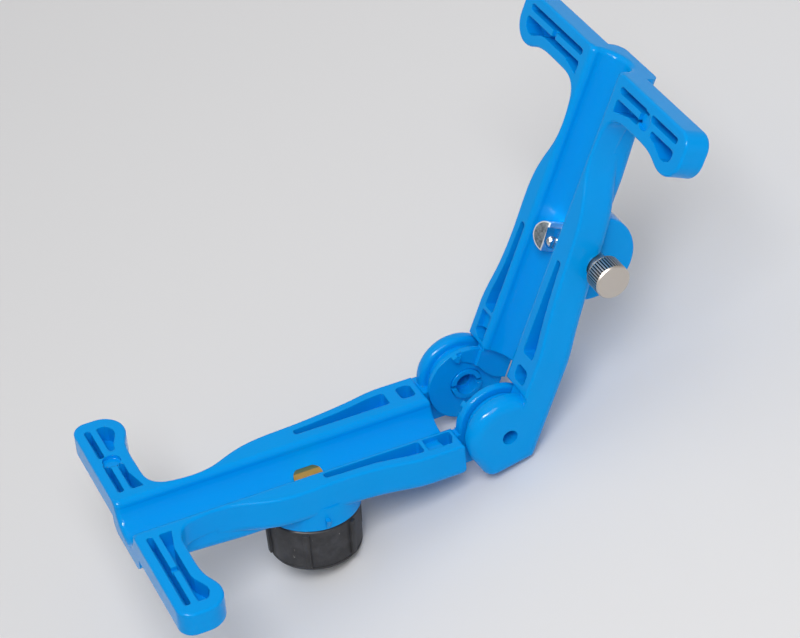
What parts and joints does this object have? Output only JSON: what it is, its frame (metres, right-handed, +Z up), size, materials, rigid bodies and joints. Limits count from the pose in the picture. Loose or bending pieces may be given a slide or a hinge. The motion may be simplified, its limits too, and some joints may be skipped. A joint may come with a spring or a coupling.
{
  "type": "cable slitter",
  "caption": "Hinged two-arm hand tool with a cable trough, a blade post held by a knurled thumb screw and a turning knob that lifts a pressure pad.",
  "frame": {"origin": "centre of the bounding box at its base, where the tool stands on its knob and its hinge ears", "axes": "+Z up, X along the arms with the cross bar of the lower arm towards -X, Y along the hinge axis"},
  "size_m": [0.1928, 0.0928, 0.0903],
  "materials": {
    "blue_plastic": "moulded, satin",
    "black_plastic": "moulded, slightly worn",
    "white_plastic": "moulded, plain",
    "nickel_plate": "nickel plated brass, knurled",
    "bright_steel": "turned and ground, bright",
    "steel": "plain zinc plated",
    "brass": "turned"
  },
  "bodies": {
    "lower": {"lower_arm": "blue_plastic", "stud_bush": "brass", "thrust_washer": "white_plastic"},
    "knob": {"depth_knob": "black_plastic", "knob_cap": "black_plastic", "stud_nut": "steel", "knob_stud": "steel", "stud_clip": "steel"},
    "pad": {"pressure_pad": "brass"},
    "upper": {"upper_arm": "blue_plastic", "screw_insert": "brass"},
    "thumb": {"thumb_screw": "nickel_plate"},
    "post": {"blade_post": "bright_steel", "blade": "bright_steel", "blade_screw": "bright_steel"}
  },
  "joints": [
    {"name": "arm_hinge", "type": "hinge", "parent": "lower", "child": "upper", "pos_m": [0.01003, 0, 0.01305], "axis": [0, 1, 0], "range_deg": [-113.2, 34]},
    {"name": "knob_turn", "type": "hinge", "parent": "lower", "child": "knob", "pos_m": [-0.0479, 0, 0.01487], "axis": [0.3744, 0, 0.9273], "range_deg": [-1131.43, 308.57]},
    {"name": "pad_slide", "type": "slide", "parent": "lower", "child": "pad", "axis": [0.3744, 0, 0.9273], "range_m": [-0.0006, 0.0022]},
    {"name": "thumb_turn", "type": "hinge", "parent": "upper", "child": "thumb", "pos_m": [0.05638, -0.0183, 0.04359], "axis": [0, -1, 0], "range_deg": [0, 1080]},
    {"name": "post_slide", "type": "slide", "parent": "upper", "child": "post", "axis": [-0.7048, 0, 0.7094], "range_m": [-0.0024, 0.003]}
  ],
  "couplings": [
    {"joint": "pad_slide", "follows": "knob_turn", "m_per_rad": -0.00011141}
  ]
}
